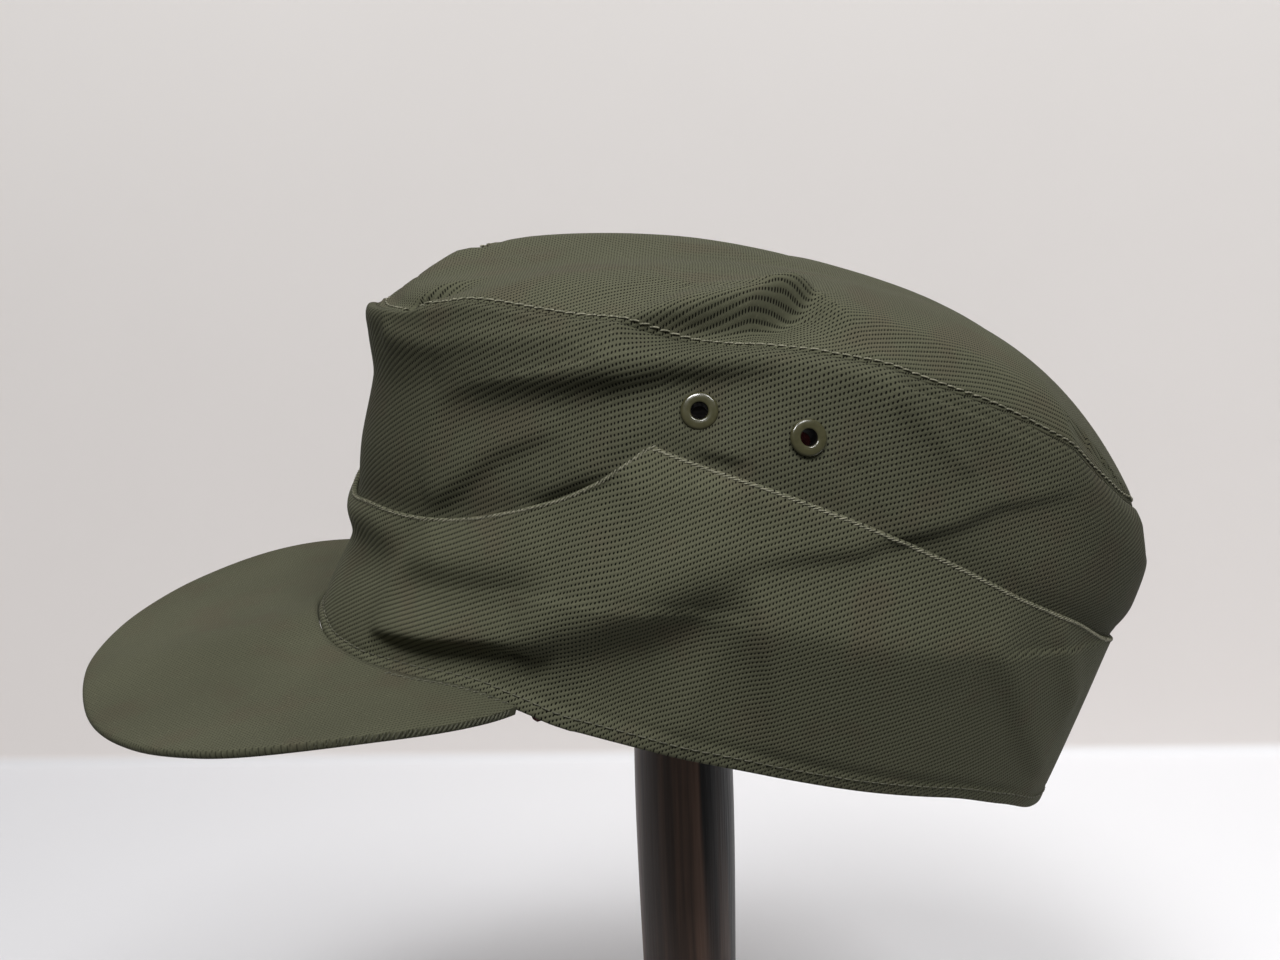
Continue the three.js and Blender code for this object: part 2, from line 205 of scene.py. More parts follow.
# Every softbox is turned towards the cap's middle
SoftBox = namedtuple("SoftBox", "name place width height power")
SOFT_BOXES = [
    SoftBox("left_softbox", (-0.4, -0.85, 1.8), 0.5, 0.5, 19.5),
    SoftBox("right_softbox", (0.42, -0.85, 1.8), 0.5, 0.5, 16.5),
    SoftBox("top_softbox", (0.0, 0.0, 1.7), 1.0, 0.8, 3),
]
LIT_PLACE = Vector((0, 0, 0.25))
AIR_TINT = (1.0, 0.99, 0.97, 1)
AIR_LIGHT = 0.13
bpy.context.scene.view_settings.view_transform = "Standard"
for box in SOFT_BOXES:
    light = bpy.data.lights.new(box.name, "AREA")
    light.shape = "RECTANGLE"
    light.size = box.width
    light.size_y = box.height
    light.energy = box.power
    lamp = bpy.data.objects.new(box.name, light)
    aim = LIT_PLACE - Vector(box.place)
    lamp.matrix_world = Matrix.Translation(box.place) @ aim.to_track_quat("-Z", "Y").to_matrix().to_4x4()
    bpy.context.scene.collection.objects.link(lamp)
world = bpy.data.worlds.new("studio_air")
world.use_nodes = True
air = world.node_tree.nodes["Background"]
air.inputs["Color"].default_value = AIR_TINT
air.inputs["Strength"].default_value = AIR_LIGHT
bpy.context.scene.world = world


# Stand
# A plain display stand of dark striped hardwood, turned on a lathe in three pieces: a round foot,
# a slim post that swells a little, and a round-topped head under the crown. Waxed, not varnished.
MM = 0.001
SMALL = 1e-7


def curve_through(xs, ys, flat_ends=False):
    """A smooth curve through points that never overshoots them."""
    xs, ys = np.asarray(xs, float), np.asarray(ys, float)
    slopes = np.diff(ys) / np.diff(xs)
    rising = slopes[:-1] * slopes[1:] > 0
    total = np.where(rising, slopes[:-1] + slopes[1:], 1)
    inner = np.where(rising, 2 * slopes[:-1] * slopes[1:] / total, 0)
    ends = (0, 0) if flat_ends else (slopes[0], slopes[-1])
    tangents = np.concatenate([[ends[0]], inner, [ends[1]]])

    def curve(x):
        k = np.clip(np.searchsorted(xs, x) - 1, 0, len(xs) - 2)
        width = xs[k + 1] - xs[k]
        u = (x - xs[k]) / width
        start = ys[k] * (1 + 2 * u) * (1 - u) ** 2 + width * tangents[k] * u * (1 - u) ** 2
        return start + ys[k + 1] * (3 - 2 * u) * u * u + width * tangents[k + 1] * (u - 1) * u * u

    return curve


def grid_mesh(name, points, round_closed=True, section_closed=False, uv=None):
    """A mesh of a grid of points, which run round the piece and then up its outside."""
    columns, rows = points.shape[:2]
    spans = columns if round_closed else columns - 1
    rises = rows if section_closed else rows - 1
    i, j = np.meshgrid(np.arange(spans), np.arange(rises), indexing="ij")
    i, j = i.ravel(), j.ravel()
    quads = [(i, j), (i + 1, j), (i + 1, j + 1), (i, j + 1)]
    faces = np.stack([(a % columns) * rows + b % rows for a, b in quads], axis=1)
    mesh = bpy.data.meshes.new(name)
    mesh.from_pydata(points.reshape(-1, 3), [], faces)
    if uv is not None:
        layer = mesh.uv_layers.new(name="cloth")
        places = np.stack([uv[a, b % rows] for a, b in quads], axis=1)
        layer.data.foreach_set("uv", places.astype(np.float32).ravel())
    work = bmesh.new()
    work.from_mesh(mesh)
    bmesh.ops.remove_doubles(work, verts=work.verts, dist=SMALL)
    bmesh.ops.dissolve_degenerate(work, dist=SMALL, edges=work.edges)
    work.to_mesh(mesh)
    work.free()
    mesh.shade_smooth()
    return mesh


def turned_points(outline, segments):
    """The grid of an outline of radii and heights that is turned round the Z axis, in millimetres."""
    outline = np.asarray(outline, float)
    around = np.arange(segments) * 2 * math.pi / segments
    radius, height = outline[:, 0], outline[:, 1]
    x = np.outer(np.cos(around), radius)
    y = np.outer(np.sin(around), radius)
    z = np.broadcast_to(height, x.shape)
    return np.stack([x, y, z], axis=-1)


def hardwood(name, grain, dark, light):
    """Wood whose stripes run along the axis that the grain's factors shrink."""
    wood = Finish(name, {"Specular IOR Level": 0.2, "Coat Roughness": 0.2, "Coat Weight": 0.07})
    place = wood.node("ShaderNodeTexCoord", {}, {}, "Object")
    waver = wood.noise(place, 24, 2)
    grain_place = wood.stretched(place, grain)
    stripes = wood.noise(grain_place, 210, 3) + 0.12 * waver
    fine = wood.noise(grain_place, 1500, 2)
    brown = wood.mix(wood.between(stripes, 0.45, 0.72), dark, light)
    black = wood.between(wood.noise(grain_place, 95, 1), 0.56, 0.62)
    streaked = wood.mix(black, brown, (0.0025, 0.002, 0.002))
    wood.feed("Base Color", wood.shade(streaked, 0.7 + 0.6 * fine))
    wood.feed("Roughness", 0.3 + 0.25 * fine)
    wood.bump(fine, 0.00012)
    return wood.material


def turned_piece(name, node, outline, material):
    """A piece of the stand, turned from an outline, in place of its plain node."""
    piece = new_object(name, grid_mesh(name, turned_points(outline, 128) * MM))
    piece.data.materials.append(material)
    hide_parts(node)
    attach(piece, "root")


def arc(middle, radius, start, end, steps=8):
    """Points of a round stretch of an outline, between two angles in degrees."""
    angles = np.radians(np.linspace(start, end, steps))
    return [(middle[0] + radius * math.cos(a), middle[1] + radius * math.sin(a)) for a in angles]


BASE_TOP = 19.0
POST_TOP = 275.0
GAP = 0.35
foot_edge = arc((74, 4), 4, -90, 60)
bead = arc((33, 15.5), 2.5, -60, 90, 7)
base_sweep = [(70, 9.6), (62, 11.4), (52, 12.6), (42, 13.2)]
foot_outline = [(0, 0), *foot_edge, *base_sweep, *bead, (24, BASE_TOP), (0, BASE_TOP)]
foot_wood = hardwood("hardwood of the foot", (0.02, 1, 1), (0.03, 0.02, 0.015), (0.08, 0.045, 0.032))
turned_piece("turned_foot", "stand_base", foot_outline, foot_wood)

PostSize = namedtuple("PostSize", "height radius")
POST = [
    PostSize(30, 12.6),
    PostSize(60, 12.2),
    PostSize(114, 13.6),
    PostSize(160, 14.1),
    PostSize(200, 13.5),
    PostSize(240, 12.6),
    PostSize(POST_TOP - 1, 12.0),
]
post_radius = curve_through([p.height for p in POST], [p.radius for p in POST])
post_foot = BASE_TOP + GAP
collar = [*arc((16, post_foot + 2), 2, -90, 80, 6), *arc((18, 29), 5.2, 250, 190, 7)]
shaft = [(float(post_radius(z)), z) for z in np.linspace(31, POST_TOP - 1, 60)]
post_outline = [(0, post_foot), *collar, *shaft, (11, POST_TOP), (0, POST_TOP)]
post_wood = hardwood("hardwood of the post", (1, 1, 0.02), (0.052, 0.036, 0.029), (0.13, 0.078, 0.056))
turned_piece("turned_post", "stand_post", post_outline, post_wood)

HEAD_TOP = 316.5
HEAD_DOME = 90.0
dome = [(r, HEAD_TOP - HEAD_DOME + math.sqrt(HEAD_DOME ** 2 - r ** 2)) for r in np.linspace(48, 0, 30)]
shoulder = dome[0][1]
head_seat = POST_TOP + GAP
underside = [(20, head_seat), (21, head_seat + 0.6), (34, 286), (44, shoulder - 10)]
head_edge = arc((46.2, shoulder - 4), 4, -60, 50)
# The head inside the cap is wood painted nearly black: painted shade for the cap's dark inside
bare = Finish("unwaxed dark wood", {"Specular IOR Level": 0.1, "Roughness": 0.9})
place = bare.node("ShaderNodeTexCoord", {}, {}, "Object")
dull = bare.noise(bare.stretched(place, (1, 1, 0.05)), 300, 3)
bare.feed("Base Color", bare.mix(dull, (0.006, 0.005, 0.004), (0.014, 0.010, 0.008)))
bare.bump(dull, 0.00015)
turned_piece("turned_head", "stand_head", [(0, head_seat), *underside, *head_edge, *dome], bare.material)


# Side panel
# The cap's upright wall, a strip of ribbed cotton twill cut on the slant and joined at the back.
# Its foot is hidden behind the turn-up, and its top edge is sewn to the top panel.
CAP_SETBACK = 3.0
CAP_PITCH = math.radians(18.3)
CAP_ROLL = math.radians(-1.2)
OPENING_HEIGHT = 200.0
cap_turn = np.array(Matrix.Rotation(CAP_PITCH, 3, "Y") @ Matrix.Rotation(CAP_ROLL, 3, "X"))
cap_place = np.array([CAP_SETBACK, 0, OPENING_HEIGHT])


def in_place(points):
    """Points of the cap, in its own millimetres, as metres on the stand."""
    return (points @ cap_turn.T + cap_place) * MM


# The wall's reach in plan, from the hem (row 0) by the turn-up's edge (1) to the top seam (2)
Level = namedtuple("Level", "row front rear side")
LEVELS = [
    Level(0, 106, 107, 72.5),
    Level(0.35, 105.5, 108.5, 74.5),
    Level(0.7, 104.5, 110, 75.5),
    Level(1, 104, 111.5, 75),
    Level(1.3, 106.5, 115, 71.5),
    Level(1.6, 107.5, 116, 67),
    Level(1.85, 112, 112.5, 63),
    Level(2, 113.5, 107, 59.5),
]

# Heights above the opening, by the angle from the front round either side to the rear
Height = namedtuple("Height", "angle hem edge seam")
HEIGHTS = [
    Height(0, -0.5, 34.5, 86),
    Height(12, -1.5, 37.5, 88),
    Height(24, 0, 40.5, 92.5),
    Height(34, 2.5, 45, 98),
    Height(50, 7, 58.5, 102),
    Height(57, 6.5, 68, 104.5),
    Height(61, 6, 75, 105.4),
    Height(63.2, 6, 79, 106),
    Height(63.7, 6.2, 79.7, 106.1),
    Height(64.3, 6.3, 79.5, 106.2),
    Height(78, 7, 78, 110.5),
    Height(90, 7.5, 75.5, 109.5),
    Height(105, 7, 70, 107),
    Height(120, 6.5, 62.5, 101),
    Height(135, 3, 56, 93),
    Height(150, -2, 49, 86),
    Height(180, -6, 42.5, 79.5),
]
# The wall is widest round this line, which follows the turn-up's edge without its points
WAIST = [
    (0, 34.5), (12, 37.5), (24, 42), (40, 52), (60, 67),
    (78, 75), (90, 74.5), (105, 70), (120, 62.5), (180, 42.5),
]
CROWN_MIDDLE = 14.0
CROWN_HEIGHT = 121.5
FRONT_POWER = 2.0
SIDE_POWER = 3.4
REAR_POWER = 2.5


def column(table, name):
    return [getattr(entry, name) for entry in table]


front_reach, rear_reach, side_reach = [
    curve_through(column(LEVELS, "row"), column(LEVELS, name)) for name in ("front", "rear", "side")
]
hem_height, edge_height, seam_height = [
    curve_through(column(HEIGHTS, "angle"), column(HEIGHTS, name), True) for name in ("hem", "edge", "seam")
]
waist_height = curve_through(*zip(*WAIST), True)


def wrapped(angle):
    return (angle + 180) % 360 - 180


def wall_height(angle, row):
    turned = np.abs(wrapped(angle))
    hem, edge, seam = hem_height(turned), edge_height(turned), seam_height(turned)
    return np.where(row < 1, hem + (edge - hem) * row, edge + (seam - edge) * (np.minimum(row, 2) - 1))


def even_row(angle, row):
    """The row that a place would have if the turn-up's edge rose evenly, without its point."""
    angle, row = np.broadcast_arrays(np.asarray(angle, float), np.asarray(row, float))
    turned = np.abs(wrapped(angle))
    hem, waist, seam = hem_height(turned), waist_height(turned), seam_height(turned)
    height = wall_height(angle, row)
    even = np.where(height < waist, (height - hem) / (waist - hem), 1 + (height - waist) / (seam - waist))
    return np.where(row < 2, even, row)


def smooth_surface(angle, row):
    """The cap's outer face without its folds. Rows 0 to 2 are the wall, and 2 to 3 the top panel."""
    angle, row = np.broadcast_arrays(np.asarray(angle, float), np.asarray(row, float))
    c, s = np.cos(np.radians(angle)), np.sin(np.radians(angle))
    wall_row = np.minimum(even_row(angle, row), 2)
    front, rear = front_reach(wall_row), rear_reach(wall_row)
    reach = (front + rear) / 2 + (front - rear) / 2 * c
    x = -reach * c
    y = -side_reach(wall_row) * s
    z = wall_height(angle, row)
    inward = np.clip(row - 2, 0, 1)
    ahead, behind = np.clip(c, 0, 1) ** 2, np.clip(-c, 0, 1) ** 2
    power = SIDE_POWER + (FRONT_POWER - SIDE_POWER) * ahead + (REAR_POWER - SIDE_POWER) * behind
    x = x + (CROWN_MIDDLE - x) * inward
    y = y * (1 - inward)
    z = z + (CROWN_HEIGHT - z) * (1 - (1 - inward) ** power)
    return np.stack([x, y, z], axis=-1)


# Folds of the cloth along paths of angles and rows, with heights in millimetres and hollows negative.
# Each dies away over its upper and its lower width. Negative angles are on the right side.
Fold = namedtuple("Fold", "name path upper lower height")
FOLDS = [
    Fold("soft line in the top panel", [(46, 2.16), (-12, 2.24)], 5, 5, 0.8),
    Fold("dip behind the front seam", [(-40, 2.04), (20, 2.035)], 3, 1.8, -5.0),
    Fold("front of the top panel", [(-25, 2.065), (14, 2.06)], 3.5, 2, 4.2),
    Fold("right front of the seam", [(-9, 2.0), (-30, 2.0)], 3, 7, -4.0),
    Fold("lip of the front seam", [(-20, 1.93), (12, 1.93)], 3, 3, 1.0),
    Fold("roll under the front seam", [(14, 1.86), (29, 1.81), (40, 1.84), (50, 1.89)], 2.5, 3, 0.9),
    Fold("flat over the rear", [(160, 1.78), (180, 1.78)], 6, 6, -1.6),
    Fold("streak at the side", [(94, 1.84), (104, 1.61)], 3, 3, 0.8),
    Fold("pinch by the edge", [(90, 1.32), (95, 0.98)], 4, 4, -0.8),
    Fold("rear swell", [(131, 0.91), (144, 0.64)], 5, 5, 1.0),
    Fold("right flat over the rear", [(-160, 1.78), (-179, 1.78)], 6, 6, -1.6),
    Fold("right sag under the seam", [(-30, 1.55), (-74, 1.65)], 8, 8, -2.5),
    Fold("right crease over the peak", [(-22, 0.2), (-72, 0.4)], 7, 7, -2.5),
    Fold("right hollow", [(-82, 0.56), (-108, 0.5)], 9, 9, -1.5),
    Fold("right rear fold", [(-118, 0.78), (-132, 0.15)], 7, 7, -1.6),
    Fold("right dent in the top panel", [(-58, 2.12), (-80, 2.4)], 9, 9, -1.5),
]

# Ridges are sharper, and fall away more evenly on both sides
RIDGES = [
    Fold("shoulder of the top panel", [(84, 2.21), (105, 2.17), (124, 2.11)], 20, 8, 4.0),
    Fold("ridge across the side", [(84, 0.56), (96, 0.59), (107, 0.65), (116, 0.72)], 14, 22, 4.6),
    Fold("ridge down to the hem", [(80, 0.5), (79, 0.39), (78, 0.23), (78, 0.1)], 5, 5, 1.6),
    Fold("slack above the eyelets", [(56, 1.75), (66, 1.77), (78, 1.88), (92, 1.9)], 4, 14, 3.4),
]
RIDGE_ROUND = 1.6

# Places where the cloth above a path hangs over the cloth below it. The edge is the half width of the
# turn between them. It and the height change evenly along the path, and the height fades at both ends.
Overhang = namedtuple("Overhang", "name path edge reach height")
SIDE_SAG = [(27, 1.56), (36, 1.6), (50, 1.63), (58, 1.6), (65, 1.63), (72, 1.72), (79, 1.81)]
EDGE_PULL = [(29, 1.03), (35, 1.16), (42, 1.3), (51, 1.39)]
FRONT_HOLLOW = [(-24, 0.72), (0, 0.78), (12, 0.8), (26, 0.78)]
TOP_DENT = [(57, 2.02), (61, 2.035), (65, 2.06), (71, 2.14), (75, 2.27), (77, 2.36)]
DEEP_CREASE = [(24, 0.2), (37, 0.22), (47, 0.245), (58, 0.26)]
SIDE_WEDGE = [(51, 0.28), (59, 0.31), (64, 0.36), (69, 0.43), (75, 0.57), (81, 0.68)]
THIN_LINE = [(76, 0.7), (85, 0.81), (93, 0.9), (98, 1.0), (106, 1.24), (111, 1.44), (126, 1.79)]
OVERHANGS = [
    Overhang("dent in the top panel", TOP_DENT, (1.2, 2.6), 12, (3.5, 8.5)),
    Overhang("sag under the top seam", SIDE_SAG, (3.8, 2.8), 11, (2.8, 3.0)),
    Overhang("pull above the edge", EDGE_PULL, (2.4, 2.4), 8, (2.0, 1.4)),
    Overhang("pull by the point", [(47, 1.02), (55, 1.04), (60, 0.98)], (1.8, 1.8), 7, (1.2, 1.1)),
    Overhang("pull under the first eyelet", [(69, 1.07), (76, 1.12)], (1.5, 1.5), 5, (0.9, 0.9)),
    Overhang("hollow at the front", FRONT_HOLLOW, (6, 6), 13, (3.0, 3.0)),
    Overhang("soft spot", [(26, 0.68), (36, 0.66), (44, 0.62), (54, 0.58)], (5, 5), 11, (1.8, 1.8)),
    Overhang("crease over the peak", DEEP_CREASE, (1.6, 2.0), 11, (3.0, 3.4)),
    Overhang("crease up the side", SIDE_WEDGE, (4.5, 6.5), 16, (3.0, 6.6)),
    Overhang("thin line across the edge", THIN_LINE, (1.5, 1.5), 7, (1.3, 0.9)),
    Overhang("rear fold", [(113, 0.8), (122, 0.58), (131, 0.36), (145, 0.14)], (3, 3), 9, (0.9, 0.9)),
]
MM_PER_DEGREE = 1.6
MM_PER_ROW = 48.0
REACH_BELOW = 1.7
HEM_HOLD = 0.35
HEM_HELD_ROWS = 0.12
CROWN_CALM = 0.3


def beside_path(angle, row, path):
    """How far a place is from a path, how far above it, and how far along it from 0 to 1."""
    side = np.sign(path[-1][0])
    level = even_row(angle, row)
    knots = [(a * side * MM_PER_DEGREE, float(even_row(a, r)) * MM_PER_ROW) for a, r in path]
    total = sum(math.dist(a, b) for a, b in zip(knots, knots[1:]))
    away = np.full(level.shape, np.inf)
    above, along = np.zeros(level.shape), np.zeros(level.shape)
    passed = 0.0
    for (start, foot), (end, top) in zip(knots, knots[1:]):
        length = math.hypot(end - start, top - foot)
        run = ((end - start) / length, (top - foot) / length)
        across = wrapped(angle - start / side / MM_PER_DEGREE) * side * MM_PER_DEGREE
        up = level * MM_PER_ROW - foot
        step = np.clip(across * run[0] + up * run[1], 0, length)
        distance = np.hypot(across - step * run[0], up - step * run[1])
        nearer = distance < away
        away = np.where(nearer, distance, away)
        above = np.where(nearer, run[0] * up - run[1] * across, above)
        along = np.where(nearer, (passed + step) / total, along)
        passed += length
    return away, above, along


def fold_height(angle, row):
    """How far the folds push the cloth out at a place, in millimetres."""
    height = np.zeros(np.broadcast(angle, row).shape)
    for fold in FOLDS:
        away, above, along = beside_path(angle, row, fold.path)
        width = np.where(above > 0, fold.upper, fold.lower)
        height = height + fold.height * np.exp(-((away / width) ** 2))
    for ridge in RIDGES:
        away, above, along = beside_path(angle, row, ridge.path)
        width = np.where(above > 0, ridge.upper, ridge.lower)
        height = height + ridge.height * np.exp((RIDGE_ROUND - np.hypot(away, RIDGE_ROUND)) / width)
    for hang in OVERHANGS:
        away, above, along = beside_path(angle, row, hang.path)
        edge = hang.edge[0] + (hang.edge[1] - hang.edge[0]) * along
        top = hang.height[0] + (hang.height[1] - hang.height[0]) * along
        top = top * (1 - (2 * along - 1) ** 4)
        reach = np.where(above > 0, hang.reach, REACH_BELOW * hang.reach)
        height = height + top * np.tanh(above / edge) * np.exp(-((away / reach) ** 2))
    # The folds die away at the dome's middle, and the hem holds most of them back
    calmed = height * np.minimum(1, (3 - row) / CROWN_CALM)
    return calmed * (HEM_HOLD + (1 - HEM_HOLD) * np.clip(row / HEM_HELD_ROWS, 0, 1))


ANGLE_STEP = 0.5
ROW_STEP = 0.01
SEAM_BLEND = 6.0


def unit(vectors):
    """The vectors' directions."""
    length = np.linalg.norm(vectors, axis=-1, keepdims=True)
    return vectors / np.maximum(length, SMALL)


def facing(angle, row, row_step):
    """The smooth face's own way out, measured over a short step up or down from the row."""
    along = smooth_surface(angle + ANGLE_STEP, row) - smooth_surface(angle - ANGLE_STEP, row)
    up = smooth_surface(angle, row + row_step) - smooth_surface(angle, row)
    return unit(np.cross(along, up * np.sign(row_step)))


def outward(angle, row, on_crown):
    """The way out of the cloth. Close to the top seam it turns to halve the corner there."""
    angle, row = np.broadcast_arrays(np.asarray(angle, float), np.asarray(row, float))
    seam = 2.0 + 0 * row
    at_seam = unit(facing(angle, seam, -ROW_STEP) + facing(angle, seam, ROW_STEP))
    if on_crown:
        own = np.where(row[..., None] > 2.99, (0.0, 0.0, 1.0), facing(angle, np.minimum(row, 2.98), ROW_STEP))
    else:
        own = np.where(row[..., None] > 0.5, facing(angle, row, -ROW_STEP), facing(angle, row, ROW_STEP))
    from_seam = np.abs(row - 2) * MM_PER_ROW
    share = np.exp(-((from_seam / SEAM_BLEND) ** 2))[..., None]
    return unit(own * (1 - share) + at_seam * share)


def cloth_point(angle, row, depth=0.0, drop=0.0, on_crown=False):
    """A point of the folded cloth, deeper than its outer face and dropped along it."""
    angle, row = np.broadcast_arrays(np.asarray(angle, float), np.asarray(row, float))
    depth = np.broadcast_to(depth, row.shape)
    drop = np.broadcast_to(drop, row.shape)
    normal = outward(angle, row, on_crown)
    up = unit(smooth_surface(angle, row + ROW_STEP / 2) - smooth_surface(angle, row - ROW_STEP / 2))
    push = fold_height(angle, row) - depth
    return smooth_surface(angle, row) + normal * push[..., None] - up * drop[..., None]


# The slant of the ribs in degrees, by the angle from the front
WEAVE = [(0, 38), (70, 37.5), (90, 34), (103, 30), (117, 26), (130, 22), (180, 17)]
COLUMNS = 480
angles = np.arange(COLUMNS + 1) * 360.0 / COLUMNS - 180


def woven_wall_uv(rows):
    """The place on the flat cloth of each point of a wall. The ribs run along U, on a changing slant."""
    steps = np.linalg.norm(np.diff(smooth_surface(angles, 1.0)[:, :2], axis=0), axis=1)
    slant = np.radians(curve_through(*zip(*WEAVE), True)(np.abs(angles)))
    middle = (slant[1:] + slant[:-1]) / 2
    sideways = np.concatenate([[0], np.cumsum(steps * np.cos(middle))])
    sinking = np.concatenate([[0], np.cumsum(steps * np.sin(middle))])
    sideways -= sideways[COLUMNS // 2]
    sinking -= sinking[COLUMNS // 2]
    fine_rows = np.linspace(0, 2, 101)
    wall = smooth_surface(angles[:, None], fine_rows[None, :])
    rises = np.linalg.norm(np.diff(wall, axis=1), axis=2)
    lengths = np.concatenate([np.zeros((COLUMNS + 1, 1)), np.cumsum(rises, axis=1)], axis=1)
    hem = hem_height(np.abs(angles))
    up = np.stack([hem[k] + np.interp(rows, fine_rows, lengths[k]) for k in range(COLUMNS + 1)])
    u = sideways[:, None] + up * np.sin(slant)[:, None]
    v = up * np.cos(slant)[:, None] - sinking[:, None]
    return np.stack([u, v], axis=-1) * MM


def slanted(along, up, angle):
    """Places on flat cloth, turned so that its ribs run at an angle."""
    c, s = math.cos(angle), math.sin(angle)
    return np.stack([along * c + up * s, up * c - along * s], axis=-1) * MM


RIB = 1.2 * MM
RIB_DEPTH = 0.1 * MM
FLOAT = 0.86 * MM
PITTING = 0.93
OLIVE = (0.097, 0.098, 0.063)
FADED = (0.097, 0.075, 0.052)


def twill(name, tone, rib=RIB, pitting=PITTING, depth=RIB_DEPTH):
    """Ribbed twill: round ribs of slanting threads, with a row of small pits between them. Painted shade
    darkens the grooves and the pits.
    """
    cloth = Finish(name, {"Specular IOR Level": 0.1, "Sheen Weight": 0.03, "Sheen Roughness": 0.4,
                          "Sheen Tint": (0.80, 0.80, 0.66, 1)})
    place = cloth.node("ShaderNodeTexCoord", {}, {}, "Object")
    flat = cloth.node("ShaderNodeUVMap", {"uv_map": "cloth"}, {}, "UV")
    along = cloth.node("ShaderNodeSeparateXYZ", {}, {"Vector": flat}, "X") * (1 / FLOAT)
    wander = cloth.noise(place, 90, 2)
    ribs = cloth.node("ShaderNodeSeparateXYZ", {}, {"Vector": flat}, "Y") * (1 / rib) + 0.35 * wander
    crest = ribs.wave()
    groove = 1 - crest
    jitter = cloth.noise(flat, 420, 1)
    thread = (along - 0.8 * ribs + 0.3 * wander + 0.7 * jitter).wave()
    pit = cloth.between(groove * (1 - thread), 0.3 + 0.25 * jitter, 0.66)
    strokes = (2.0 * along + 1.6 * ribs).wave()
    yarn = cloth.noise(cloth.stretched(flat, (1, 1.6, 1)), 1300, 2)
    fleck = cloth.between(yarn, 0.62, 0.75) * crest
    cloud = cloth.noise(place, 22, 3)
    tint = cloth.noise(place, 60, 2)
    browned = cloth.mix(cloth.between(tint, 0.5, 0.7) * 0.3, OLIVE, FADED)
    # The tone sets each piece's brightness apart: painted light and shade, the turn-up lightest and the side
    # panel darkest
    light = tone + 0.34 * cloud + 0.3 * (yarn - 0.5) + 0.14 * (strokes - 0.5) * crest + 0.5 * fleck
    # Painted shade darkens the grooves a little and the pits nearly to black
    level = light * (1 - 0.1 * groove) * (1 - pitting * pit)
    cloth.feed("Base Color", cloth.shade(browned, level))
    cloth.feed("Roughness", 0.84 + 0.12 * yarn)
    cloth.bump(0.6 * crest + 0.15 * strokes * crest + 0.2 * (yarn - 0.5) - 0.8 * pit, depth)
    return cloth.material


# The side panel's low tone is painted shade
wall_twill = twill("ribbed twill of the side panel", 0.6)

CLOTH = 1.2
EDGE_STEP = 1.3
TUCK = 5.0
SEAM_ROLL = 0.9


def panel_depth(angle, row):
    """How deep the side panel's face lies: behind the turn-up, and out at the surface above it."""
    turned = np.abs(wrapped(angle))
    above = np.clip((row - 1) * (seam_height(turned) - edge_height(turned)), 0, None)
    return EDGE_STEP * np.exp(-((above / TUCK) ** 2))


def seam_groove(row):
    """How far the cloth rolls in towards the top seam."""
    from_seam = np.abs(row - 2) * MM_PER_ROW
    return SEAM_ROLL * np.exp(-((from_seam / SEAM_ROLL) ** 2))


def folded_section(rows, thickness, round_foot=0.0, round_top=0.0):
    """The rows, depths and drops round a strip's section: up its outer face and down its inner one."""
    half = thickness / 2
    turns = np.radians([30, 60, 90, 120, 150])
    top = [(rows[-1], half - half * math.cos(a), -round_top * math.sin(a)) for a in turns]
    foot = [(rows[0], half + half * math.cos(a), round_foot * math.sin(a)) for a in turns]
    outer = [(row, 0.0, 0.0) for row in rows]
    inner = [(row, thickness, 0.0) for row in rows[::-1]]
    return np.array([*outer, *top, *inner, *foot])


def wall_piece(name, section, depth_of):
    """A strip of cloth all round the cap."""
    rows, depths, drops = section.T
    grid_angles = angles[:COLUMNS, None]
    depth = depths[None, :] + depth_of(grid_angles, rows[None, :])
    points = cloth_point(grid_angles, rows[None, :], depth, drops[None, :])
    mesh = grid_mesh(name, in_place(points), True, True, woven_wall_uv(rows))
    return new_object(name, mesh)


panel_rows = np.concatenate([np.linspace(0.04, 0.9, 8), np.linspace(0.97, 1.9, 46), np.linspace(1.92, 2, 9)])
panel_section = folded_section(panel_rows, CLOTH)


def sunk_panel(angle, row):
    """The panel's depth, with the groove at its top seam."""
    return panel_depth(angle, row) + seam_groove(row)


panel = wall_piece("twill_side_panel", panel_section, sunk_panel)
panel.data.materials.append(wall_twill)

# The holes for the eyelets are punched through the panel
Eyelet = namedtuple("Eyelet", "name angle row")
EYELETS = [Eyelet("front", 69, 1.41), Eyelet("rear", 83, 1.42)]
HOLE_RADIUS = 3.0
PUNCH_REACH = 6.0


def eyelet_axes(angle, row):
    """A matrix that carries an eyelet, modelled round Z in millimetres, to its place on the cap."""
    middle = in_place(cloth_point(angle, row))
    out = unit(outward(angle, row, False) @ cap_turn.T)
    turned = Vector(out).to_track_quat("Z", "Y").to_matrix().to_4x4()
    return Matrix.Translation(middle) @ turned @ Matrix.Scale(MM, 4)


def cut_hole(piece, axes, radius):
    """A round hole punched square through the cloth."""
    rim = [(radius, -PUNCH_REACH), (radius, PUNCH_REACH)]
    tool_mesh = grid_mesh("punch", turned_points([(0, -PUNCH_REACH), *rim, (0, PUNCH_REACH)], 32))
    tool_mesh.transform(axes)
    tool = new_object("punch", tool_mesh)
    cut = piece.modifiers.new("punch", "BOOLEAN")
    cut.operation = "DIFFERENCE"
    cut.solver = "EXACT"
    cut.object = tool
    bpy.context.view_layer.update()
    shaped = bpy.data.meshes.new_from_object(piece.evaluated_get(bpy.context.evaluated_depsgraph_get()))
    piece.modifiers.clear()
    piece.data = shaped
    bpy.data.objects.remove(tool)


def cut_eyelet_holes(piece, radius):
    for eyelet in EYELETS:
        for side in (1, -1):
            cut_hole(piece, eyelet_axes(eyelet.angle * side, eyelet.row), radius)


cut_eyelet_holes(panel, HOLE_RADIUS)
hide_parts("side_panel")
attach(panel, "root")


